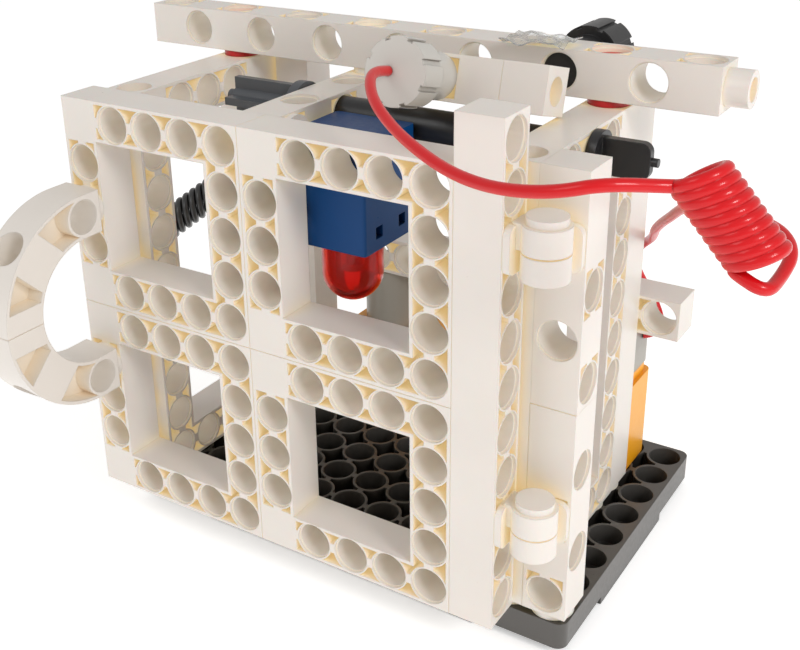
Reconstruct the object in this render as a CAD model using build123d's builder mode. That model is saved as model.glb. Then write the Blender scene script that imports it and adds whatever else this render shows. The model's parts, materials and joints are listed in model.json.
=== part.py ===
from build123d import *
import math
import os

# A snap-together kit cabinet: a hinged windowed door, two window walls, a lamp and a hand-turned
# shaft on a perforated base plate. Millimetres, +Z up, origin at the middle of the plate's underside.
# Driving sizes ------------------------------------------------------------------------------------
UNIT = 10.0            # grid pitch and section of every rod and frame
SEAM = 0.1             # gap between two pieces that butt together
HOLE_R = 4.0           # grid hole
PEG_R = 3.95           # shaft of a peg
RECESS_R = 4.3         # shallow recess round each hole
RECESS_DEPTH = 0.7
RING_R = 4.65          # outer radius of the ring left round a hole
POCKET_DEPTH = 4.3
SKIN = 0.8             # outer wall beside a pocket
NECK = 2.4             # bridge between two rings
FLANGE = 1.5           # thickness of a peg's flange, the gap between joined pieces
FLANGE_R = 4.7
PEG_REACH = 8.5        # length of a peg's shaft in its hole
RIM = 9.5              # width of a frame round its window
RUN_GAP = 0.05         # radial clearance of a turning fit

PLATE_COLS, PLATE_ROWS = 12, 8
PLATE_TOP = 8.5
PLATE_UNDER = 2.0
PLATE_HOLE_DEPTH = 5.0
FOOT_LENGTH = 38.0     # the underside's cross-shaped deep part reaches this wide

DOOR_CELLS = 5
WALL_ROWS = 10
HINGE_OFFSET = 6.5     # hinge axis beyond the side face of the door bar
KNUCKLE_R = 4.7
KNUCKLE_HIGH = 5.2
KNUCKLE_GAP = 0.3
LEAF = 1.5
PIN_R = 2.0
HANDLE_R = 20.0        # mean radius of the bowed handle
LAMP_SIZE = (20.0, 20.0, 24.0)
DOME_R = 6.9
DOME_STRAIGHT = 8.2
COLLAR_R = 7.0
PLUG_R = 5.0
NOTCH = 1.2            # width of the notches round a plug's collar
CORD_D = 2.1
COIL_D = 10.2          # outside of the curly stretches
TILT = 15.0            # lean of the contact rod
ROD_LIFT = 1.4         # its tilted section stands this much higher than an upright one
LENS_WALL = 1.2
BULB_R = 2.6
SHAFT_WALL = 1.5
HUB_R = 6.0
HUB_DISC = 2.5
HUB_LENGTH = 20.5
TAB_LENGTH = 12.0
POWER_LEFT, POWER_RIGHT = -34.0, 48.7
POWER_HIGH = 24.5
POWER_STEP = 2.3
DRUM_R = 9.0

# Places worked out from the sizes -----------------------------------------------------------------
PLATE_X = PLATE_COLS * UNIT / 2
PLATE_Y = PLATE_ROWS * UNIT / 2
BOX_Z = PLATE_TOP + FLANGE
BOX_FRONT = -PLATE_Y
BOX_BACK = BOX_FRONT + DOOR_CELLS * UNIT
BOX_TOP = BOX_Z + WALL_ROWS * UNIT
WALL_LEFT = -PLATE_X + UNIT / 2
WALL_RIGHT = WALL_LEFT + 10 * UNIT
DOOR_BACK = BOX_FRONT - FLANGE
DOOR_Y = DOOR_BACK - UNIT / 2
DOOR_LEFT = -PLATE_X - FLANGE
DOOR_Z = BOX_Z + 1.0
DOOR_RIGHT = DOOR_LEFT + 2 * DOOR_CELLS * UNIT
BAR_X = DOOR_RIGHT + UNIT / 2
HINGE_X = BAR_X + UNIT / 2 + HINGE_OFFSET
POST_X = HINGE_X
POST_Y = BOX_FRONT + UNIT / 2
AXLE_Y = BOX_FRONT + 2.5 * UNIT
AXLE_Z = BOX_TOP - UNIT / 2
MID_X = -1.5 * UNIT
BEAM_Y = BOX_BACK - UNIT / 2
BEAM_Z = BOX_TOP + FLANGE + UNIT / 2
BEAM_LEFT = -PLATE_X - 2 * UNIT
BEAM_CELLS = 15
CROSS_CELLS = 11
BACK_Y = BOX_BACK + UNIT / 2
CROSS_Y = BACK_Y + UNIT
CROSS_Z = BOX_Z + 4.5 * UNIT
ROD_Z = BOX_TOP + UNIT / 2 + ROD_LIFT
ROD_X = 1.5

os.makedirs("parts", exist_ok=True)


def save(builder, label):
    """Name a finished piece and write it as one STEP file."""
    builder.part.label = label
    export_step(builder.part, f"parts/{label}.step")


def cell(index, cells):
    """Middle of a grid cell, from the middle of the piece."""
    return (index - (cells - 1) / 2) * UNIT


def grid_block(plane, cols, rows, blanks=(), crossed=(), window=True, pockets=True, ends=()):
    """A rod or frame on the grid. Holes run along the plane's normal, except in the blank and
    crossed cells; crossed cells have theirs along the plane's y axis. Ends lists the (col, row)
    cells with a socket that opens upwards along the plane's y axis."""
    width, height = cols * UNIT - SEAM, rows * UNIT - SEAM
    rim = [(c, r) for c in range(cols) for r in range(rows)
           if not window or c in (0, cols - 1) or r in (0, rows - 1)]
    pads = [p for p in rim if p in blanks or p in crossed]
    holes = [p for p in rim if p not in pads]
    spots = [(cell(c, cols), cell(r, rows)) for c, r in holes]
    opening = (cols * UNIT - 2 * RIM, rows * UNIT - 2 * RIM)
    with BuildPart() as block:
        with BuildSketch(plane):
            Rectangle(width, height)
            if window:
                Rectangle(*opening, mode=Mode.SUBTRACT)
        extrude(amount=UNIT / 2, both=True)
        if pockets:
            for side in (1, -1):
                with BuildSketch(plane.offset(side * UNIT / 2)) as pocket:
                    Rectangle(width - 2 * SKIN, height - 2 * SKIN)
                    if window:
                        Rectangle(opening[0] + 2 * SKIN, opening[1] + 2 * SKIN, mode=Mode.SUBTRACT)
                    with Locations(*spots):
                        Circle(RING_R, mode=Mode.SUBTRACT)
                        Rectangle(NECK, UNIT, mode=Mode.SUBTRACT)
                        Rectangle(UNIT, NECK, mode=Mode.SUBTRACT)
                    if pads:
                        with Locations(*[(cell(c, cols), cell(r, rows)) for c, r in pads]):
                            Rectangle(UNIT, UNIT, mode=Mode.SUBTRACT)
                    with GridLocations(width - UNIT / 2, height - UNIT / 2, 2, 2):
                        Rectangle(UNIT / 2, UNIT / 2, mode=Mode.SUBTRACT)
                extrude(amount=-side * POCKET_DEPTH, mode=Mode.SUBTRACT)
        with BuildSketch(plane):
            with Locations(*spots):
                Circle(HOLE_R)
        extrude(amount=UNIT / 2, both=True, mode=Mode.SUBTRACT)
        for side in (1, -1):
            with BuildSketch(plane.offset(side * UNIT / 2)):
                with Locations(*spots):
                    Circle(RECESS_R)
            extrude(amount=-side * RECESS_DEPTH, mode=Mode.SUBTRACT)
        across = Plane(plane.origin, x_dir=plane.x_dir, z_dir=plane.y_dir)
        if crossed:
            marks = [(cell(c, cols), 0) for c, r in crossed]
            with BuildSketch(across):
                with Locations(*marks):
                    Circle(HOLE_R)
            extrude(amount=UNIT / 2, both=True, mode=Mode.SUBTRACT)
            for side in (1, -1):
                with BuildSketch(across.offset(side * UNIT / 2)):
                    with Locations(*marks):
                        Circle(RECESS_R)
                extrude(amount=-side * RECESS_DEPTH, mode=Mode.SUBTRACT)
        for c, r in ends:
            with BuildSketch(across.offset(cell(r, rows) + UNIT / 2 + SEAM)):
                with Locations((cell(c, cols), 0)):
                    Circle(HOLE_R)
            extrude(amount=-(PEG_REACH + 0.3), mode=Mode.SUBTRACT)
    return block


def upright(x, y, z, normal="X"):
    """Plane of a standing piece: its y axis is +Z."""
    if normal == "X":
        return Plane((x, y, z), x_dir=(0, 1, 0), z_dir=(1, 0, 0))
    return Plane((x, y, z), x_dir=(1, 0, 0), z_dir=(0, -1, 0))


def flanged_peg(label, origin, direction, below, above, shaft=PEG_R):
    """A round peg: a flange from the origin along the direction and a shaft on each side of it."""
    plane = Plane(origin, z_dir=direction)
    with BuildPart() as peg:
        with BuildSketch(plane):
            Circle(FLANGE_R)
        extrude(amount=FLANGE)
        if above:
            with BuildSketch(plane.offset(FLANGE)):
                Circle(shaft)
            extrude(amount=above)
        if below:
            with BuildSketch(plane):
                Circle(shaft)
            extrude(amount=-below)
    save(peg, label)
    return peg


def base_plate():
    marks = [(cell(c, PLATE_COLS), cell(r, PLATE_ROWS))
             for c in range(PLATE_COLS) for r in range(PLATE_ROWS)]
    with BuildPart() as plate:
        with BuildSketch(Plane.XY.offset(PLATE_UNDER)):
            RectangleRounded(2 * PLATE_X, 2 * PLATE_Y, 2.5)
        extrude(amount=PLATE_TOP - PLATE_UNDER)
        with BuildSketch(Plane.XY.offset(PLATE_TOP)):
            with GridLocations(UNIT, UNIT, PLATE_COLS - 1, PLATE_ROWS - 1):
                Rectangle(UNIT - 2 * SKIN, UNIT - 2 * SKIN)
            with Locations(*marks):
                Circle(RING_R, mode=Mode.SUBTRACT)
        extrude(amount=-POCKET_DEPTH, mode=Mode.SUBTRACT)
        with BuildSketch(Plane.XY.offset(PLATE_TOP)):
            with Locations(*marks):
                Circle(HOLE_R)
        extrude(amount=-PLATE_HOLE_DEPTH, mode=Mode.SUBTRACT)
        with BuildSketch(Plane.XY):
            Rectangle(2 * FOOT_LENGTH, 2 * PLATE_Y)
            Rectangle(2 * PLATE_X, FOOT_LENGTH)
        extrude(amount=PLATE_UNDER)
    save(plate, "base_plate")


def walls():
    top_sockets = ((0, WALL_ROWS - 1), (DOOR_CELLS - 1, WALL_ROWS - 1))
    middle_y = (BOX_FRONT + BOX_BACK) / 2
    middle_z = (BOX_Z + BOX_TOP) / 2
    for label, x in (("wall_left", WALL_LEFT), ("wall_right", WALL_RIGHT)):
        wall = grid_block(upright(x, middle_y, middle_z), DOOR_CELLS, WALL_ROWS,
                          blanks=top_sockets, ends=top_sockets)
        save(wall, label)
    rod = grid_block(Plane((MID_X, middle_y, AXLE_Z), x_dir=(0, 1, 0), z_dir=(1, 0, 0)),
                     DOOR_CELLS, 1, crossed=((1, 0), (3, 0)), window=False)
    save(rod, "mid_rod")


def back():
    """Three plain bars behind the walls and a perforated bar across them."""
    heights = [cell(r, WALL_ROWS) for r in range(WALL_ROWS)]
    inner_x = WALL_LEFT + UNIT + FLANGE
    for label, x in (("back_bar_left", WALL_LEFT), ("back_bar_inner", inner_x),
                     ("back_bar_right", WALL_RIGHT)):
        place = upright(x, BACK_Y, (BOX_Z + BOX_TOP) / 2, "Y")
        with BuildPart() as bar:
            with BuildSketch(place):
                Rectangle(UNIT - SEAM, WALL_ROWS * UNIT - SEAM)
            extrude(amount=UNIT / 2, both=True)
            with BuildSketch(place.offset(-UNIT / 2)):
                with Locations(*[(0, h) for h in heights]):
                    Circle(HOLE_R)
            extrude(amount=PEG_REACH, mode=Mode.SUBTRACT)
        save(bar, label)
    middle = PLATE_X - CROSS_CELLS * UNIT / 2
    cross = grid_block(upright(middle, CROSS_Y, CROSS_Z, "Y"), CROSS_CELLS, 1, window=False)
    save(cross, "back_cross_bar")
    with BuildPart() as peg:
        with BuildSketch(Plane((WALL_RIGHT, BACK_Y + UNIT / 2, CROSS_Z), z_dir=(0, 1, 0))):
            Circle(PEG_R)
        extrude(amount=PEG_REACH - 0.3, both=True)
    save(peg, "cross_peg")


def beam():
    middle = BEAM_LEFT + BEAM_CELLS * UNIT / 2
    flat = Plane((middle, BEAM_Y, BEAM_Z), x_dir=(1, 0, 0), z_dir=(0, 0, 1))
    side_cells = [(c, 0) for c in range(1, BEAM_CELLS, 2)]
    piece = grid_block(flat, BEAM_CELLS, 1, crossed=side_cells, window=False)
    save(piece, "top_beam")
    for label, x in (("red_peg_left", WALL_LEFT), ("red_peg_right", WALL_RIGHT)):
        flanged_peg(label, (x, BEAM_Y, BOX_TOP), (0, 0, 1), PEG_REACH, PEG_REACH)
    flanged_peg("rod_spacer", (MID_X, BEAM_Y, BOX_TOP), (0, 0, 1), 0, PEG_REACH)
    end = BEAM_LEFT + BEAM_CELLS * UNIT - SEAM / 2
    with BuildPart() as stub:
        with BuildSketch(Plane((end, BEAM_Y, BEAM_Z), z_dir=(1, 0, 0))):
            Circle(PEG_R)
            Circle(PEG_R - 1.4, mode=Mode.SUBTRACT)
        extrude(amount=UNIT / 2)
    save(stub, "beam_end_peg")


def door():
    half = DOOR_CELLS * UNIT
    for name, column in (("left", 0), ("right", 1)):
        for level, row in (("lower", 0), ("upper", 1)):
            place = upright(DOOR_LEFT + (column + 0.5) * half, DOOR_Y, DOOR_Z + (row + 0.5) * half, "Y")
            frame = grid_block(place, DOOR_CELLS, DOOR_CELLS, blanks=((0, 0), (0, DOOR_CELLS - 1)))
            save(frame, f"door_frame_{name}_{level}")
    bar = grid_block(upright(BAR_X, DOOR_Y, DOOR_Z + 5.5 * UNIT), 1, 11, window=False)
    save(bar, "door_bar")


def hinges():
    """Two hinges: a leaf with a knuckle on the door bar, one on the post, and the pin."""
    face = BAR_X + UNIT / 2
    for level, door_hole, post_hole in (("lower", DOOR_Z + 2.5 * UNIT, BOX_Z + 2.5 * UNIT),
                                        ("upper", DOOR_Z + 8.5 * UNIT, BOX_Z + 8.5 * UNIT)):
        middle = (door_hole + post_hole) / 2 + 0.3
        top = middle + KNUCKLE_HIGH + KNUCKLE_GAP
        with BuildPart() as moving:
            with BuildSketch(Plane((face, DOOR_Y, door_hole), x_dir=(0, 1, 0), z_dir=(1, 0, 0))):
                RectangleRounded(UNIT - 0.4, UNIT - 0.4, 2)
            extrude(amount=LEAF)
            with BuildSketch(Plane((face, DOOR_Y, door_hole), z_dir=(-1, 0, 0))):
                Circle(PEG_R)
            extrude(amount=PEG_REACH)
            with BuildSketch(Plane((HINGE_X, DOOR_Y, middle + KNUCKLE_GAP))):
                Circle(KNUCKLE_R)
                with Locations(((face - HINGE_X + LEAF / 2) / 2, 0)):
                    Rectangle(HINGE_X - face - LEAF / 2, 5)
            extrude(amount=KNUCKLE_HIGH)
            with BuildSketch(Plane((HINGE_X, DOOR_Y, top))):
                Circle(PEG_R)
            extrude(amount=1.6)
            with BuildSketch(Plane((HINGE_X, DOOR_Y, middle + KNUCKLE_GAP))):
                Circle(PIN_R)
            extrude(amount=-(KNUCKLE_GAP + KNUCKLE_HIGH))
        save(moving, f"hinge_door_{level}")
        with BuildPart() as fixed:
            with BuildSketch(Plane((POST_X, BOX_FRONT, post_hole), x_dir=(1, 0, 0), z_dir=(0, -1, 0))):
                RectangleRounded(UNIT - 0.4, UNIT - 0.4, 2)
            extrude(amount=LEAF)
            with BuildSketch(Plane((POST_X, BOX_FRONT, post_hole), z_dir=(0, 1, 0))):
                Circle(PEG_R)
            extrude(amount=PEG_REACH)
            with BuildSketch(Plane((HINGE_X, DOOR_Y, middle))):
                Circle(KNUCKLE_R)
                with Locations((0, (BOX_FRONT - DOOR_Y) / 2)):
                    Rectangle(5, BOX_FRONT - DOOR_Y)
            extrude(amount=-KNUCKLE_HIGH)
            with BuildSketch(Plane((HINGE_X, DOOR_Y, middle))):
                Circle(PIN_R + RUN_GAP)
            extrude(amount=-KNUCKLE_HIGH, mode=Mode.SUBTRACT)
        save(fixed, f"hinge_post_{level}")


def posts():
    """The hinge post: two rods end to end, one turned a quarter so that its pockets face +X."""
    for label, row, normal, blanks in (("post_lower", 0, (0, -1, 0), ((4, 0),)),
                                       ("post_upper", 5, (1, 0, 0), ((4, 0),))):
        middle = (POST_X, POST_Y, BOX_Z + (row + 2.5) * UNIT)
        post = grid_block(Plane(middle, x_dir=(0, 0, 1), z_dir=normal), 5, 1, window=False,
                          blanks=blanks, crossed=((1, 0), (3, 0)))
        save(post, label)


def handle():
    """Two quarter bows from the door's left column, meeting half way up."""
    x = DOOR_LEFT + UNIT / 2
    centre_z = DOOR_Z + 5.5 * UNIT
    start = DOOR_Y - UNIT / 2 - FLANGE
    bend = start - UNIT / 2
    outer, inner = HANDLE_R + UNIT / 2, HANDLE_R - UNIT / 2
    diagonal = HANDLE_R * math.sqrt(0.5)
    for level, side in (("upper", 1), ("lower", -1)):
        place = Plane((x, bend, centre_z), x_dir=(0, -1, 0), z_dir=(-side, 0, 0))
        with BuildPart() as bow:
            with BuildSketch(place):
                Circle(outer)
                Circle(inner, mode=Mode.SUBTRACT)
                with Locations((outer / 2, (outer + SEAM) / 2)):
                    Rectangle(outer, outer, mode=Mode.INTERSECT)
                with Locations((-UNIT / 4, HANDLE_R)):
                    Rectangle(UNIT / 2, UNIT)
            extrude(amount=UNIT / 2, both=True)
            for face in (1, -1):
                with BuildSketch(place.offset(face * UNIT / 2)):
                    Circle(outer - SKIN)
                    Circle(inner + SKIN, mode=Mode.SUBTRACT)
                    with Locations((outer / 2, (outer + UNIT) / 2)):
                        Rectangle(outer, outer, mode=Mode.INTERSECT)
                    with Locations((0, HANDLE_R)):
                        Circle(RING_R, mode=Mode.SUBTRACT)
                    with Locations(Location((diagonal, diagonal), 45)):
                        Rectangle(UNIT, UNIT, mode=Mode.SUBTRACT)
                extrude(amount=-face * POCKET_DEPTH, mode=Mode.SUBTRACT)
            with BuildSketch(place):
                with Locations((0, HANDLE_R)):
                    Circle(HOLE_R)
            extrude(amount=UNIT / 2, both=True, mode=Mode.SUBTRACT)
            outward = (0, -math.sqrt(0.5), side * math.sqrt(0.5))
            with BuildSketch(Plane((x, bend, centre_z), z_dir=outward).offset(HANDLE_R)):
                Circle(HOLE_R)
            extrude(amount=UNIT / 2 + 1, both=True, mode=Mode.SUBTRACT)
        save(bow, f"handle_{level}")
        seat = (x, start, centre_z + side * HANDLE_R)
        flanged_peg(f"handle_peg_{level}", seat, (0, 1, 0), 0, PEG_REACH)


def base_pegs():
    """Pegs between the plate and what stands on it."""
    places = {"wall_left_front": (WALL_LEFT, POST_Y), "wall_left_back": (WALL_LEFT, BEAM_Y),
              "wall_right_front": (WALL_RIGHT, POST_Y), "wall_right_back": (WALL_RIGHT, BEAM_Y),
              "back_left": (WALL_LEFT, BACK_Y), "back_right": (WALL_RIGHT, BACK_Y),
              "post": (POST_X, POST_Y)}
    for label, (x, y) in places.items():
        flanged_peg(f"foot_peg_{label}", (x, y, PLATE_TOP), (0, 0, 1), PLATE_HOLE_DEPTH - 0.3, 0)


def lamp():
    """A block beside the middle rod, with a domed lens and a bulb under it."""
    width, depth, height = LAMP_SIZE
    left = MID_X + UNIT / 2 + FLANGE
    top = AXLE_Z + 2.0
    middle = (left + width / 2, BOX_FRONT + depth / 2)
    bottom = top - height
    flanged_peg("lamp_peg", (left - FLANGE, POST_Y, AXLE_Z), (1, 0, 0), PEG_REACH, 0)
    with BuildPart() as block:
        with BuildSketch(Plane.XY.offset(bottom)):
            with Locations(middle):
                RectangleRounded(width, depth, 0.8)
        extrude(amount=height)
        side = Plane((left + width, middle[1], bottom + 4.0), x_dir=(0, 1, 0), z_dir=(1, 0, 0))
        with BuildSketch(side):
            with Locations((-4.5, 0), (4.5, 0)):
                Rectangle(2.6, 2.6)
        extrude(amount=-5, mode=Mode.SUBTRACT)
    save(block, "lamp_block")
    for label, radius, cavity in (("lamp_lens", DOME_R, DOME_R - LENS_WALL), ("lamp_bulb", BULB_R, 0)):
        straight = DOME_STRAIGHT
        with BuildPart() as lens:
            with BuildSketch(Plane((middle[0], middle[1], bottom), (1, 0, 0), (0, -1, 0))):
                for size, mode in ((radius, Mode.ADD), (cavity, Mode.SUBTRACT)):
                    if size:
                        with Locations((0, -straight)):
                            Circle(size, mode=mode)
                        with Locations((0, -straight / 2)):
                            Rectangle(2 * size, straight, mode=mode)
                with Locations((radius / 2, -radius)):
                    Rectangle(radius, 4 * radius, mode=Mode.INTERSECT)
                with Locations((0, radius)):
                    Rectangle(2 * radius, 2 * radius, mode=Mode.SUBTRACT)
            revolve(axis=Axis((middle[0], middle[1], bottom), (0, 0, 1)))
        save(lens, label)


def axle():
    """A shaft through the middle rod and the right wall, with a finned hub and a thumb tab."""
    turn_r = HOLE_R - RUN_GAP
    rod_face = MID_X - UNIT / 2 - KNUCKLE_GAP
    wall_face = WALL_RIGHT + UNIT / 2 + KNUCKLE_GAP
    with BuildPart() as shaft:
        with BuildSketch(Plane((rod_face, AXLE_Y, AXLE_Z), z_dir=(1, 0, 0))):
            Circle(turn_r)
            Circle(turn_r - SHAFT_WALL, mode=Mode.SUBTRACT)
        extrude(amount=wall_face - rod_face)
    save(shaft, "axle_shaft")
    with BuildPart() as hub:
        with BuildSketch(Plane((rod_face, AXLE_Y, AXLE_Z), z_dir=(-1, 0, 0))):
            Circle(HUB_R)
        extrude(amount=HUB_DISC)
        with BuildSketch(Plane((rod_face - HUB_DISC, AXLE_Y, AXLE_Z), z_dir=(-1, 0, 0))):
            Circle(2.4)
            Rectangle(2 * HUB_R - 2, 1.8)
            Rectangle(1.8, 2 * HUB_R - 2)
        extrude(amount=HUB_LENGTH - HUB_DISC)
        with BuildSketch(Plane((rod_face - HUB_LENGTH, AXLE_Y, AXLE_Z), z_dir=(-1, 0, 0))):
            Circle(1.6)
        extrude(amount=2)
    save(hub, "axle_hub")
    with BuildPart() as tab:
        with BuildSketch(Plane((wall_face, AXLE_Y, AXLE_Z), z_dir=(1, 0, 0))):
            Circle(PLUG_R)
        extrude(amount=2)
        with BuildSketch(Plane((wall_face + TAB_LENGTH / 2, AXLE_Y, AXLE_Z), (1, 0, 0), (0, 1, 0))):
            RectangleRounded(TAB_LENGTH, 7.6, 2)
        extrude(amount=1, both=True)
        with BuildSketch(Plane((wall_face + TAB_LENGTH, AXLE_Y, AXLE_Z), z_dir=(1, 0, 0))):
            Circle(0.9)
        extrude(amount=1.4)
    save(tab, "axle_tab")


def plug(label, seat, direction, body, collar):
    """A round plug: a shaft in the hole, a body, and a notched collar where the cord comes out."""
    plane = Plane(seat, x_dir=(1, 0, 0), z_dir=direction)
    with BuildPart() as piece:
        with BuildSketch(plane):
            Circle(PEG_R)
        extrude(amount=-PEG_REACH)
        with BuildSketch(plane):
            Circle(PLUG_R)
        extrude(amount=body)
        with BuildSketch(plane.offset(body)):
            Circle(COLLAR_R)
            with PolarLocations(COLLAR_R, 8, start_angle=22.5):
                Rectangle(NOTCH, NOTCH, mode=Mode.SUBTRACT)
        extrude(amount=collar)
    save(piece, label)


def contact_rod():
    """A leaning rod over the right wall that carries the red cord's plug."""
    lean = math.radians(TILT)
    front = (0, -math.cos(lean), math.sin(lean))
    middle = Vector(ROD_X + 1.5 * UNIT, AXLE_Y, ROD_Z)
    rod = grid_block(Plane(middle, x_dir=(1, 0, 0), z_dir=front), 3, 1, window=False,
                     crossed=((0, 0), (2, 0)))
    save(rod, "contact_rod")
    with BuildPart() as end:
        with BuildSketch(Plane(middle + Vector(1.5 * UNIT, 0, 0), x_dir=front, z_dir=(1, 0, 0))):
            Rectangle(UNIT, UNIT)
            Circle(HOLE_R - 1.0, mode=Mode.SUBTRACT)
        extrude(amount=UNIT)
    save(end, "contact_end")
    plug("red_plug", middle + Vector(front) * (UNIT / 2), front, 9.5, 7.0)
    plug("black_plug", (3.5 * UNIT, BOX_BACK, BEAM_Z), (0, 1, 0), 6.0, 10.0)


def power_unit():
    """The cell holder at the back: a case, a drum on it and a body at its right end."""
    back = CROSS_Y + UNIT / 2 + 6.5
    front = BACK_Y + UNIT / 2 + 0.5
    under = CROSS_Z - UNIT / 2 - 0.5
    with BuildPart() as case:
        with BuildSketch(Plane.XY.offset(PLATE_TOP)):
            with Locations(((POWER_LEFT + POWER_RIGHT) / 2, (front + back) / 2)):
                RectangleRounded(POWER_RIGHT - POWER_LEFT, back - front, 2)
        extrude(amount=POWER_HIGH)
        with BuildSketch(Plane.XY.offset(PLATE_TOP + POWER_HIGH)):
            with Locations((POWER_RIGHT - UNIT / 2 - 1, (front + back) / 2)):
                RectangleRounded(UNIT, back - front - 2, 2)
        extrude(amount=POWER_STEP)
    save(case, "power_case")
    with BuildPart() as drum:
        with BuildSketch(Plane.XY.offset(PLATE_TOP + POWER_HIGH)):
            with Locations((POWER_LEFT + UNIT, front + DRUM_R)):
                Circle(DRUM_R)
        extrude(amount=under - PLATE_TOP - POWER_HIGH)
    save(drum, "power_drum")
    with BuildPart() as block:
        with BuildSketch(Plane.XY.offset(PLATE_TOP + POWER_HIGH + POWER_STEP)):
            with Locations((POWER_RIGHT - 8, back - 6.5)):
                RectangleRounded(14, 12, 1.5)
        extrude(amount=under - PLATE_TOP - POWER_HIGH - POWER_STEP)
    save(block, "power_block")


# Cord routes, from end to end ---------------------------------------------------------------------
RED_LEAD = [(15, -35.92, 122), (15.4, -41, 123.2), (17.5, -46.5, 122.8), (23, -53.5, 121),
            (30.5, -59.5, 119), (38.5, -65.3, 118), (47.3, -70.2, 117.7), (55.8, -74.2, 118),
            (63.8, -77.2, 118.8), (71, -78.3, 119.8), (77, -77.6, 121.2), (82.4, -74.4, 123.2),
            (85.6, -70, 123.8), (86.9, -66, 121.5)]
RED_COIL = [(86.9, -66, 121.5), (97, -65.3, 109.8)]
RED_TAIL = [(97, -65.3, 109.8), (99.5, -66.5, 106.2), (102, -62.5, 105.8), (101.5, -56.5, 108),
            (96, -51, 109.8), (88.5, -45.5, 109), (81, -38.5, 106.5), (75.5, -29.5, 102.8),
            (70.5, -20, 98.6), (65.5, -10, 92.8), (60.5, 0, 87.3), (56, 9, 81.8),
            (52.8, 18, 75.8), (52, 27.5, 70), (54.5, 35.5, 63.5), (58.5, 38.5, 56),
            (58, 36, 48.8), (53.5, 33, 45.2), (47.7, 31.2, 44.2)]
BLACK_LEAD = [(35, 26, 116.5), (34, 32, 116.2), (28.5, 37, 113.5), (18, 38.5, 109.5),
              (4, 38, 105), (-12, 37, 100.5), (-29, 35.5, 94.5), (-46, 33, 86.5),
              (-61, 29.5, 76.5), (-72, 26, 69.5), (-79.3, 22.7, 65.2)]
BLACK_COIL = [(-79.3, 22.7, 65.2), (-92.7, 7.3, 52.8)]
BLACK_TAIL = [(-92.7, 7.3, 52.8), (-96.5, 4.8, 47.5), (-98, 6, 40.5), (-94.5, 11, 32.5),
              (-85.5, 17.5, 25.5), (-74, 23, 21), (-60.5, 27, 18.8), (-47, 28.8, 18),
              (-34, 29.2, 18)]


def cord_tube(label, points, diameter):
    """A tube along straight runs joined by tangent arcs."""
    spots = [Vector(p) for p in points]
    runs = [b - a for a, b in zip(spots, spots[1:])]
    radii = []
    for before, after in zip(runs, runs[1:]):
        turn = math.radians(before.get_angle(after))
        radii.append(0.45 * min(before.length, after.length) / math.tan(turn / 2))
    with BuildPart() as tube:
        with BuildLine() as path:
            FilletPolyline(*spots, radius=radii)
        with BuildSketch(Plane(spots[0], z_dir=runs[0])):
            Circle(diameter / 2)
        sweep()
    length = sum(edge.length for edge in path.edges())
    share = tube.part.volume / (math.pi * diameter ** 2 / 4 * length)
    print(label, "length", round(length, 1), "least radius", round(min(radii), 1),
          "longest run", round(max(r.length for r in runs), 1), "volume share", round(share, 4))
    save(tube, label)


def coil_solid(label, ends, diameter):
    """The outer shape of a curly stretch."""
    start, finish = (Vector(p) for p in ends)
    with BuildPart() as coil:
        with BuildSketch(Plane(start, z_dir=finish - start)):
            Circle(diameter / 2)
        extrude(amount=(finish - start).length)
    save(coil, label)


base_plate()
walls()
back()
beam()
door()
hinges()
posts()
handle()
base_pegs()
lamp()
axle()
contact_rod()
power_unit()
cord_tube("red_lead", RED_LEAD, CORD_D)
coil_solid("red_coil", RED_COIL, COIL_D)
cord_tube("red_tail", RED_TAIL, CORD_D)
cord_tube("black_lead", BLACK_LEAD, CORD_D)
coil_solid("black_coil", BLACK_COIL, COIL_D)
cord_tube("black_tail", BLACK_TAIL, CORD_D)
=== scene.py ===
# %% [markdown]
# A snap-together kit cabinet: white perforated rods and frames on a dark plate, a hinged door with
# a bowed handle, a blue lamp, a hand-turned shaft and two curly cords. The rigid pieces arrive as a
# fixed frame. This file gives them their finishes and adds what is soft: the two cords and the
# clear strip on the beam.

# %% Load the frame
import json
import math

import bmesh
import bpy
from mathutils import Matrix, Vector


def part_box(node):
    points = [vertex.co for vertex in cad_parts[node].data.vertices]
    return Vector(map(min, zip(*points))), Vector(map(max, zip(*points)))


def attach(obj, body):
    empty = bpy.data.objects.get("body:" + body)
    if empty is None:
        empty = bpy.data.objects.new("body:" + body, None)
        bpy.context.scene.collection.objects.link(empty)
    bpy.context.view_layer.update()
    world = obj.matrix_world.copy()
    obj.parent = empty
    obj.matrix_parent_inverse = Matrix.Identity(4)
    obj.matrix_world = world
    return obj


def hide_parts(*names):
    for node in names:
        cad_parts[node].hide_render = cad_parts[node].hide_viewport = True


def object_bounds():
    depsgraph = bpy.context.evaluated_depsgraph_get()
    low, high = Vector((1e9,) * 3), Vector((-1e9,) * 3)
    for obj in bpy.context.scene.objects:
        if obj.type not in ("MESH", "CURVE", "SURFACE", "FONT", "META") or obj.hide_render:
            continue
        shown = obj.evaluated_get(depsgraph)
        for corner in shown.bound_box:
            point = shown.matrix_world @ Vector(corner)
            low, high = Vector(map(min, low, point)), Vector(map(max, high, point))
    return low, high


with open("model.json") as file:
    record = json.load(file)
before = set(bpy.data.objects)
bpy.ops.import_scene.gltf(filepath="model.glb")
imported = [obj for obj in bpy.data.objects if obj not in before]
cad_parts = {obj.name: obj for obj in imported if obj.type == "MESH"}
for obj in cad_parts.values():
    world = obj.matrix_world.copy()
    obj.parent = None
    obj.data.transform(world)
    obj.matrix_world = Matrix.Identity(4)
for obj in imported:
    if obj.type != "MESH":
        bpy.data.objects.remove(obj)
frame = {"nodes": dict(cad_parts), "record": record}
frame_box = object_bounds()
MM = 0.001  # the places below are written in millimetres
nodes = frame["nodes"]
print("pieces", len(nodes))

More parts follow.
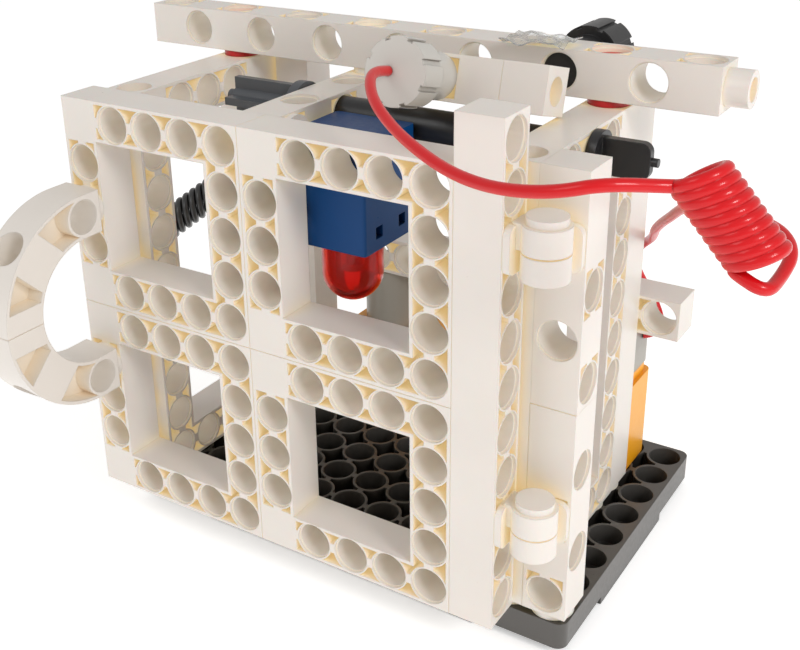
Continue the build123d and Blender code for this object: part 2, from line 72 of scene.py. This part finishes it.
# %% [markdown]
# The view comes first, because everything else is judged through it: close to the cabinet, a little
# above it and to the right of the door.

# %% Camera
camera_data = bpy.data.cameras.new("view")
camera_data.sensor_width = 36
camera_data.lens = 51.9
camera_data.shift_x = 0.0355
camera_data.shift_y = -0.0741
camera = bpy.data.objects.new("view", camera_data)
bpy.context.scene.collection.objects.link(camera)
AZIMUTH, ELEVATION, ROLL = map(math.radians, (33.4, 23.07, -1.11))
EYE = Vector((134.2, -223.8, 175.4)) * MM
look = Vector((-math.sin(AZIMUTH) * math.cos(ELEVATION),
               math.cos(AZIMUTH) * math.cos(ELEVATION),
               -math.sin(ELEVATION)))
turn = look.to_track_quat("-Z", "Y").to_matrix().to_4x4() @ Matrix.Rotation(ROLL, 4, "Z")
camera.matrix_world = Matrix.Translation(EYE) @ turn
bpy.context.scene.camera = camera
print("camera looks along", tuple(round(c, 3) for c in look))

# %% [markdown]
# Plain studio light. A sky of one even, slightly warm colour fills every hollow of the pale
# plastic, and the camera itself sees plain white behind the cabinet. A Light Path node keeps those
# two apart, so the backdrop can be white without overexposing the pieces.

# %% Sky
world = bpy.data.worlds.new("studio")
world.use_nodes = True
sky = world.node_tree.nodes["Background"]
sky.inputs["Color"].default_value = (1, 0.985, 0.965, 1)
sky.inputs["Strength"].default_value = 0.6
backdrop = world.node_tree.nodes.new("ShaderNodeBackground")
backdrop.inputs["Color"].default_value = (1, 1, 1, 1)
ray_kind = world.node_tree.nodes.new("ShaderNodeLightPath")
sky_mix = world.node_tree.nodes.new("ShaderNodeMixShader")
sky_links = world.node_tree.links
sky_links.new(ray_kind.outputs["Is Camera Ray"], sky_mix.inputs["Fac"])
sky_links.new(sky.outputs["Background"], sky_mix.inputs[1])
sky_links.new(backdrop.outputs["Background"], sky_mix.inputs[2])
sky_links.new(sky_mix.outputs["Shader"], world.node_tree.nodes["World Output"].inputs["Surface"])
bpy.context.scene.world = world
bpy.context.scene.view_settings.view_transform = "Standard"
print("sky strength", round(sky.inputs["Strength"].default_value, 2))

# %% [markdown]
# One large soft lamp stands at the front left. A smaller, stronger one at the right brightens the
# sides that face it and draws the streaks on the shiny cords. Area lights suit both, because their
# size sets how soft the shadow is.

# %% Lamps


def soft_light(name, place, aim, size, power):
    """A square area light that points at a place."""
    data = bpy.data.lights.new(name, "AREA")
    data.size = size
    data.energy = power
    light = bpy.data.objects.new(name, data)
    light.location = place
    light.rotation_euler = (Vector(aim) - Vector(place)).to_track_quat("-Z", "Y").to_euler()
    bpy.context.scene.collection.objects.link(light)


soft_light("key", place=(-0.25, -0.55, 0.6), aim=(0, 0, 0.06), size=0.35, power=0.8)
soft_light("rim", place=(0.6, -0.25, 0.45), aim=(0.04, 0, 0.08), size=0.2, power=2.0)
print("lights", len(bpy.data.lights))

# %% [markdown]
# The floor is a large sheet of matt white paper a hair below the plate. A little emission lifts it
# to the backdrop's white and leaves only a faint contact shadow.

# %% Floor
FLOOR_HALF = 1.5
FLOOR_DROP = 0.2 * MM
bm = bmesh.new()
bmesh.ops.create_grid(bm, x_segments=2, y_segments=2, size=FLOOR_HALF)
bmesh.ops.translate(bm, vec=(0, 0, frame_box[0][2] - FLOOR_DROP), verts=bm.verts)
floor_mesh = bpy.data.meshes.new("floor")
bm.to_mesh(floor_mesh)
bm.free()
floor = bpy.data.objects.new("floor", floor_mesh)
bpy.context.scene.collection.objects.link(floor)
paper = bpy.data.materials.new("white_paper")
paper.use_nodes = True
paper_shader = paper.node_tree.nodes["Principled BSDF"]
paper_shader.inputs["Base Color"].default_value = (0.97, 0.97, 0.97, 1)
paper_shader.inputs["Roughness"].default_value = 1.0
paper_shader.inputs["Emission Color"].default_value = (1, 1, 1, 1)
paper_shader.inputs["Emission Strength"].default_value = 0.4
floor_mesh.materials.append(paper)
print("floor at", round(frame_box[0][2] - FLOOR_DROP, 4))

# %% [markdown]
# Moulded plastic is never one flat colour. Its skin is faintly uneven, it looks warmer where light
# has to bounce or shine through to get in, which is painted here as a shade colour and a glow, and
# its edges are a touch round. These effects could be made again in every material. One node group
# that all the plastics share keeps them alike, so here is a helper that makes a group, with its
# input and output nodes.

# %% Group helper


def add_group(name, inputs, outputs):
    """A node group with named sockets, and its input and output nodes."""
    tree = bpy.data.node_groups.new(name, "ShaderNodeTree")
    for label, kind in inputs:
        tree.interface.new_socket(label, in_out="INPUT", socket_type=kind)
    for label, kind in outputs:
        tree.interface.new_socket(label, in_out="OUTPUT", socket_type=kind)
    return tree, tree.nodes.new("NodeGroupInput"), tree.nodes.new("NodeGroupOutput")


# %% [markdown]
# The first effect is painted shade: a tint that follows how enclosed a spot is. An Ambient
# Occlusion node gives the share of open sky. Open skin, the holes and the deep pockets between them
# each take their own colour, the enclosed ones a painted shade, and a faint painted glow, an
# emission colour, stands for the light that comes through thin pale walls.

# %% Painted shade by depth
# Between these shares of open sky one painted shade colour passes into the next, and the painted
# glow fades out.
DEEP_TO_HOLLOW = (0.1, 0.26)
HOLLOW_TO_OPEN = (0.3, 0.72)
PAINTED_GLOW_FADES = (0.25, 0.85)

plastic_skin_with_painted_shade, skin_in, skin_out = add_group(
    "plastic_skin_with_painted_shade",
    [("Open", "NodeSocketColor"), ("Hollow Shade", "NodeSocketColor"), ("Deep Shade", "NodeSocketColor"),
     ("Painted Glow", "NodeSocketColor"), ("Reach", "NodeSocketFloat")],
    [("Color", "NodeSocketColor"), ("Emission Color", "NodeSocketColor"),
     ("Roughness", "NodeSocketFloat"), ("Normal", "NodeSocketVector")])
tree = plastic_skin_with_painted_shade
shade = tree.nodes.new("ShaderNodeAmbientOcclusion")
shade.samples = 8
tree.links.new(skin_in.outputs["Reach"], shade.inputs["Distance"])


def step_colour(shares, enclosed_socket, open_socket=None):
    """Mixes two colours by how open a spot is, between two shares of open sky. Without an open
    colour the open end is black."""
    share = tree.nodes.new("ShaderNodeMapRange")
    share.inputs["From Min"].default_value, share.inputs["From Max"].default_value = shares
    tree.links.new(shade.outputs["AO"], share.inputs["Value"])
    mix = tree.nodes.new("ShaderNodeMix")
    mix.data_type = "RGBA"
    tree.links.new(share.outputs["Result"], mix.inputs["Factor"])
    tree.links.new(enclosed_socket, mix.inputs["A"])
    if open_socket:
        tree.links.new(open_socket, mix.inputs["B"])
    else:
        mix.inputs["B"].default_value = (0, 0, 0, 1)
    return mix.outputs["Result"]


# Painted shade: the deep and hollow colours darken and warm the enclosed spots where little sky
# reaches, and the glow colour is painted light there.
painted_hollow_shade = step_colour(DEEP_TO_HOLLOW, skin_in.outputs["Deep Shade"], skin_in.outputs["Hollow Shade"])
colour_with_painted_shade = step_colour(HOLLOW_TO_OPEN, painted_hollow_shade, skin_in.outputs["Open"])
painted_glow_mix = step_colour(PAINTED_GLOW_FADES, skin_in.outputs["Painted Glow"])
tree.links.new(painted_glow_mix, skin_out.inputs["Emission Color"])
print("tint steps", DEEP_TO_HOLLOW, HOLLOW_TO_OPEN, PAINTED_GLOW_FADES)

# %% [markdown]
# The second effect is a cloudiness about two centimetres wide that moves the colour by some
# hundredths, and the third a fine grain that moves the gloss. Both are noise on Object coordinates,
# so they stay on the plastic when a piece turns.

# %% Clouds and grain
coordinates = tree.nodes.new("ShaderNodeTexCoord")
cloud = tree.nodes.new("ShaderNodeTexNoise")
cloud.inputs["Scale"].default_value = 60
cloud.inputs["Detail"].default_value = 4
tree.links.new(coordinates.outputs["Object"], cloud.inputs["Vector"])
cloud_range = tree.nodes.new("ShaderNodeMapRange")
cloud_range.inputs["To Min"].default_value = 0.94
cloud_range.inputs["To Max"].default_value = 1.04
tree.links.new(cloud.outputs["Fac"], cloud_range.inputs["Value"])
cloudy = tree.nodes.new("ShaderNodeMix")
cloudy.data_type = "RGBA"
cloudy.blend_type = "MULTIPLY"
cloudy.inputs["Factor"].default_value = 1
tree.links.new(colour_with_painted_shade, cloudy.inputs["A"])
tree.links.new(cloud_range.outputs["Result"], cloudy.inputs["B"])
tree.links.new(cloudy.outputs["Result"], skin_out.inputs["Color"])
grain = tree.nodes.new("ShaderNodeTexNoise")
grain.inputs["Scale"].default_value = 900
tree.links.new(coordinates.outputs["Object"], grain.inputs["Vector"])
gloss = tree.nodes.new("ShaderNodeMapRange")
gloss.inputs["To Min"].default_value = 0.24
gloss.inputs["To Max"].default_value = 0.4
tree.links.new(grain.outputs["Fac"], gloss.inputs["Value"])
tree.links.new(gloss.outputs["Result"], skin_out.inputs["Roughness"])
print("roughness", round(gloss.inputs["To Min"].default_value, 2), "to",
      round(gloss.inputs["To Max"].default_value, 2))

# %% [markdown]
# The last effect is the edge. The frame's edges are sharp and must not be cut, so a Bevel node
# bends only the normals near them, and the same fine grain adds a very shallow ripple.

# %% Soft edge and ripple
edge = tree.nodes.new("ShaderNodeBevel")
edge.samples = 4
edge.inputs["Radius"].default_value = 0.3 * MM
ripple = tree.nodes.new("ShaderNodeBump")
ripple.inputs["Strength"].default_value = 0.12
ripple.inputs["Distance"].default_value = 0.05 * MM
tree.links.new(grain.outputs["Fac"], ripple.inputs["Height"])
tree.links.new(edge.outputs["Normal"], ripple.inputs["Normal"])
tree.links.new(ripple.outputs["Normal"], skin_out.inputs["Normal"])
print("group", plastic_skin_with_painted_shade.name, len(tree.nodes), "nodes")


# %% [markdown]
# Each plastic is then one call: its open colour, the painted shade colours of its pockets and
# holes, how far it looks for other walls, and the plain values that are the same all over it. Those
# are set on the shader itself.

# %% Plastic helper


def plastic(name, open_colour, deep_shade_colour, reach, hollow_shade_colour=None, painted_glow=None, **plain):
    """A moulded plastic whose holes and deep pockets are painted darker with their own shade
    colours. The glow is painted light, an emission colour in the pockets that stands for the light
    that comes through thin pale walls into them."""
    material = bpy.data.materials.new(name)
    material.use_nodes = True
    material_tree = material.node_tree
    shader = material_tree.nodes["Principled BSDF"]
    skin = material_tree.nodes.new("ShaderNodeGroup")
    skin.node_tree = plastic_skin_with_painted_shade
    skin.inputs["Open"].default_value = (*open_colour, 1)
    # The deep and hollow colours are painted shade for the pockets and holes.
    skin.inputs["Deep Shade"].default_value = (*deep_shade_colour, 1)
    skin.inputs["Hollow Shade"].default_value = (*(hollow_shade_colour or deep_shade_colour), 1)
    skin.inputs["Reach"].default_value = reach
    material_tree.links.new(skin.outputs["Color"], shader.inputs["Base Color"])
    material_tree.links.new(skin.outputs["Roughness"], shader.inputs["Roughness"])
    # Painted glow: an emission colour in the hollows stands for light shining through the pale
    # walls.
    if painted_glow:
        skin.inputs["Painted Glow"].default_value = (*painted_glow, 1)
        material_tree.links.new(skin.outputs["Emission Color"], shader.inputs["Emission Color"])
        shader.inputs["Emission Strength"].default_value = 1
    material_tree.links.new(skin.outputs["Normal"], shader.inputs["Normal"])
    for label, value in plain.items():
        shader.inputs[label.replace("_", " ")].default_value = value
    return material


# %% [markdown]
# Two ivories share one open colour. The frames' small pockets are painted amber, a painted shade
# and glow that stand for the light shining through the pale plastic, and the handle's wide ones
# stay paler. The other plastics follow by the name of their slot, and each is given painted shade
# colours for its holes and pockets.

# %% Plastics
IVORY = (0.76, 0.712, 0.66)
# The colours after the open one are painted shade for the deep pockets and holes, and the ivories'
# last colour is a painted glow.
handle_plastic = plastic("white_handle_plastic", IVORY, (0.8, 0.62, 0.42), 7 * MM,
                         (0.78, 0.68, 0.55), (0.09, 0.085, 0.07))
finishes = {
    "white_plastic": plastic("white_kit_plastic", IVORY, (0.8, 0.66, 0.4), 7 * MM,
                             (0.8, 0.69, 0.54), (0.15, 0.135, 0.085),
                             Subsurface_Weight=0.12, Subsurface_Scale=2 * MM),
    "plate_plastic": plastic("dark_plate_plastic", (0.085, 0.08, 0.074), (0.02, 0.018, 0.015),
                             6 * MM),
    "red_plastic": plastic("red_peg_plastic", (0.62, 0.012, 0.016), (0.3, 0.004, 0.004), 4 * MM),
    "black_plastic": plastic("black_plug_plastic", (0.014, 0.014, 0.015), (0.005, 0.005, 0.005),
                             4 * MM),
    "grey_plastic": plastic("grey_hub_plastic", (0.072, 0.078, 0.088), (0.03, 0.032, 0.036),
                            4 * MM),
    "yellow_plastic": plastic("yellow_case_plastic", (0.93, 0.4, 0.01), (0.7, 0.22, 0.0), 8 * MM),
    "pale_grey_plastic": plastic("pale_plug_plastic", (0.58, 0.56, 0.52), (0.26, 0.23, 0.2),
                                 4 * MM),
    "blue_plastic": plastic("blue_lamp_plastic", (0.002, 0.052, 0.19), (0.002, 0.02, 0.09), 6 * MM,
                            Specular_IOR_Level=0.2),
}
warm_grey_plastic = plastic("warm_grey_plastic", (0.36, 0.34, 0.3), (0.2, 0.18, 0.15), 5 * MM)
print("plastics", len(finishes))

# %% [markdown]
# The lens is red all through and lets the bulb show, so it transmits light. The bulb inside it is
# clear glass, and the strip on the beam is a thin clear film. All three have the same slight waves.

# %% Clear finishes


def clear(name, colour, roughness, ior):
    """A see-through plastic or glass with a slightly wavy skin."""
    material = bpy.data.materials.new(name)
    material.use_nodes = True
    material_tree = material.node_tree
    shader = material_tree.nodes["Principled BSDF"]
    shader.inputs["Transmission Weight"].default_value = 0.85
    shader.inputs["Roughness"].default_value = roughness
    shader.inputs["IOR"].default_value = ior
    place = material_tree.nodes.new("ShaderNodeTexCoord")
    wave = material_tree.nodes.new("ShaderNodeTexNoise")
    wave.inputs["Scale"].default_value = 240
    material_tree.links.new(place.outputs["Object"], wave.inputs["Vector"])
    tint = material_tree.nodes.new("ShaderNodeMapRange")
    tint.inputs["To Min"].default_value = 0.8
    material_tree.links.new(wave.outputs["Fac"], tint.inputs["Value"])
    mix = material_tree.nodes.new("ShaderNodeMix")
    mix.data_type = "RGBA"
    mix.blend_type = "MULTIPLY"
    mix.inputs["Factor"].default_value = 1
    mix.inputs["A"].default_value = (*colour, 1)
    material_tree.links.new(tint.outputs["Result"], mix.inputs["B"])
    material_tree.links.new(mix.outputs["Result"], shader.inputs["Base Color"])
    bump = material_tree.nodes.new("ShaderNodeBump")
    bump.inputs["Strength"].default_value = 0.1
    bump.inputs["Distance"].default_value = 0.1 * MM
    material_tree.links.new(wave.outputs["Fac"], bump.inputs["Height"])
    material_tree.links.new(bump.outputs["Normal"], shader.inputs["Normal"])
    return material


finishes["red_lens"] = clear("red_lens_plastic", (0.9, 0.05, 0.03), 0.08, 1.3)
finishes["bulb_glass"] = clear("clear_bulb_glass", (1, 0.95, 0.85), 0.02, 1.3)
strip_finish = clear("clear_strip_plastic", (0.93, 0.94, 0.95), 0.12, 1.2)
print("finishes", sorted(finishes))

# %% [markdown]
# The cords are soft vinyl: glossy under a thin coat, and painted darker where the turns press
# together, a painted shade that the shared tint adds by itself.

# %% Cord finishes
red_vinyl = plastic("red_cord_vinyl", (0.64, 0.004, 0.008), (0.4, 0.001, 0.003), 3 * MM,
                    Specular_IOR_Level=0.22, Coat_Weight=0.3, Coat_Roughness=0.06)
black_vinyl = plastic("black_cord_vinyl", (0.016, 0.016, 0.017), (0.006, 0.006, 0.006), 3 * MM,
                      Coat_Weight=0.4, Coat_Roughness=0.1)
print("cord finishes", red_vinyl.name, black_vinyl.name)

# %% [markdown]
# Every piece of the frame takes the finish of its slot. The handle and two pieces of the cell
# holder have their own, and the pieces of the red cord are left with the vinyl of the cord that
# replaces them.

# %% Put the finishes on
own_finishes = {"power_drum": warm_grey_plastic, "power_block": warm_grey_plastic}
own_finishes.update((name, handle_plastic) for name in nodes if name.startswith("handle_"))
for part in frame["record"]["subparts"]:
    piece = nodes[part["node"]]
    finish = own_finishes.get(part["node"], finishes.get(part["material_slot"], red_vinyl))
    if not piece.material_slots:
        piece.data.materials.append(finish)
    for piece_slot in piece.material_slots:
        piece_slot.material = finish

# %% [markdown]
# A curly cord is a lead, a tight helix and another lead, all one length of cable. It could be three
# curves, but the joints would show, so it is one smooth spline: its leads run by listed points, and
# a loop works out the turns of the helix.

# %% Cord routes
CORD_D = 2.1
COIL_D = 10.2
TURN_R = (COIL_D - CORD_D) / 2
STEPS_PER_TURN = 14
RED_LEAD = [(15, -35.92, 122), (15.4, -41, 123.2), (17.5, -46.5, 122.8), (23, -53.5, 121),
            (30.5, -59.5, 119), (38.5, -65.3, 118), (47.3, -70.2, 116.9), (55.8, -74.2, 117),
            (63.8, -77.2, 118.2), (71, -78.3, 119.8), (77, -76.9, 121.6)]
RED_COIL = [(86.9, -66, 121.5), (97, -65.3, 109.8)]
RED_TAIL = [(98.8, -68, 106.2), (99.2, -62.4, 106.3), (99.6, -56.5, 108.5),
            (96, -51, 109.8), (88.5, -45.5, 109), (81, -38.5, 106.5), (75.5, -29.5, 102.8),
            (70.5, -20, 98.6), (65.5, -10, 92.8), (60.5, 0, 87.3), (56, 9, 81.8),
            (53.2, 17, 77.5), (50.5, 23.5, 73.5), (46, 28, 69), (43.5, 32, 63.5),
            (44.5, 35.5, 57.5), (48, 37, 51.5), (51, 35, 46.8), (50.2, 32.2, 44.6),
            (47.7, 31.2, 44.2)]
BLACK_LEAD = [(35, 26, 116.5), (34, 32, 116.2), (28.5, 37, 113.5), (18, 38.5, 109.5),
              (4, 38, 105), (-12, 37, 100.5), (-29, 35.5, 94.5), (-46, 33, 86.5),
              (-61, 29.5, 76.5)]
BLACK_COIL = [(-79.3, 22.7, 65.2), (-92.7, 7.3, 52.8)]
BLACK_TAIL = [(-98, 6, 40.5), (-94.5, 11, 32.5), (-85.5, 17.5, 25.5), (-74, 23, 21),
              (-60.5, 27, 18.8), (-47, 28.8, 18), (-34, 29.2, 18)]
print("points by hand", len(RED_LEAD + RED_TAIL + BLACK_LEAD + BLACK_TAIL))

# %% [markdown]
# The turns of a resting coil lean, so a turn lies square to its own slant and not to the line of
# the coil. Counting the angles from the front side sets where the lead runs into the first turn.

# %% Cord helpers


def helix(ends, slant, turns, front, first, last):
    """Points of a coil between two ends. Its turns lie square to slant, which may lean away from
    the coil's own line, and their angles are counted from the side that faces front."""
    start, finish = (Vector(p) for p in ends)
    square = Vector(slant).normalized()
    near = (Vector(front) - square * square.dot(Vector(front))).normalized()
    side = near.cross(square)
    steps = round(STEPS_PER_TURN * turns)
    points = []
    for step in range(steps + 1):
        share = step / steps
        angle = math.radians(first) + share * (math.tau * turns + math.radians(last - first))
        spoke = near * math.cos(angle) + side * math.sin(angle)
        points.append(start.lerp(finish, share) + spoke * TURN_R)
    return points


def cord(name, points, diameter, finish):
    """A cord as one smooth spline, and the length of its line in metres."""
    curve_data = bpy.data.curves.new(name, "CURVE")
    curve_data.dimensions = "3D"
    spline = curve_data.splines.new("NURBS")
    spline.points.add(len(points) - 1)
    for control, point in zip(spline.points, points):
        control.co = (*(Vector(point) * MM), 1)
    spline.order_u = 3
    spline.use_endpoint_u = True
    curve_data.resolution_u = 6
    piece = bpy.data.objects.new(name, curve_data)
    bpy.context.scene.collection.objects.link(piece)
    line = bpy.data.meshes.new_from_object(piece)
    length = sum((line.vertices[a].co - line.vertices[b].co).length
                 for a, b in (e.vertices for e in line.edges))
    bpy.data.meshes.remove(line)
    curve_data.bevel_depth = diameter / 2 * MM
    curve_data.bevel_resolution = 5
    curve_data.use_fill_caps = True
    curve_data.materials.append(finish)
    print(name, "length", round(length, 4))
    return piece, length


# %% Red cord
red_turns = helix(RED_COIL, slant=(0.47, 0.02, -0.88), turns=10, front=(43, -166, 64), first=-70,
                  last=-80)
red_cord, red_length = cord("red_cord", RED_LEAD + red_turns + RED_TAIL, CORD_D, red_vinyl)
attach(red_cord, "cabinet")
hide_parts("red_lead", "red_coil", "red_tail")

# %% Black cord
black_turns = helix(BLACK_COIL, slant=(-0.78, -0.6, -0.17), turns=10, front=(70, -190, 100),
                    first=90, last=90)
black_cord, black_length = cord("black_cord", BLACK_LEAD + black_turns + BLACK_TAIL, CORD_D,
                                black_vinyl)
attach(black_cord, "cabinet")
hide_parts("black_lead", "black_coil", "black_tail")

# %% [markdown]
# A crumpled strip of clear film lies over the beam by the black plug. A cloth simulation would be a
# lot for so small a piece, so it starts as a flat grid with rows enough to crease, a few waves
# that don't line up lift each vertex, and a thin wall makes it a closed sheet.

# %% Clear strip
beam_low, beam_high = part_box("top_beam")
strip_low = Vector((0.0225, beam_low[1] - 3.5 * MM, beam_high[2] + 0.5 * MM))
STRIP_LONG, STRIP_WIDE, STRIP_WALL = 15 * MM, 10 * MM, 0.2 * MM
STRIP_LIFT, CREASE_HEIGHT = 0.9 * MM, 0.55 * MM
bm = bmesh.new()
bmesh.ops.create_grid(bm, x_segments=22, y_segments=14, size=0.5)
bmesh.ops.scale(bm, vec=(STRIP_LONG, STRIP_WIDE, 1), verts=bm.verts)
for vertex in bm.verts:
    x, y = vertex.co.x / STRIP_LONG, vertex.co.y / STRIP_WIDE
    crease = math.sin(13 * x + 5 * y) * math.cos(8 * y - 4 * x) + 0.5 * math.sin(17 * x * y + 3)
    vertex.co.z = STRIP_LIFT + CREASE_HEIGHT * crease
strip_middle = strip_low + Vector((STRIP_LONG / 2, STRIP_WIDE / 2, 0))
bmesh.ops.translate(bm, vec=strip_middle, verts=bm.verts)
bmesh.ops.solidify(bm, geom=bm.faces[:], thickness=STRIP_WALL)
bmesh.ops.recalc_face_normals(bm, faces=bm.faces)
strip_mesh = bpy.data.meshes.new("clear_strip")
bm.to_mesh(strip_mesh)
bm.free()
strip = bpy.data.objects.new("clear_strip", strip_mesh)
bpy.context.scene.collection.objects.link(strip)
strip_mesh.materials.append(strip_finish)
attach(strip, "cabinet")
print("strip", len(strip_mesh.polygons), "faces")

# %% [markdown]
# The last cell prints a closing line.

# %% Finish
print("scene done")
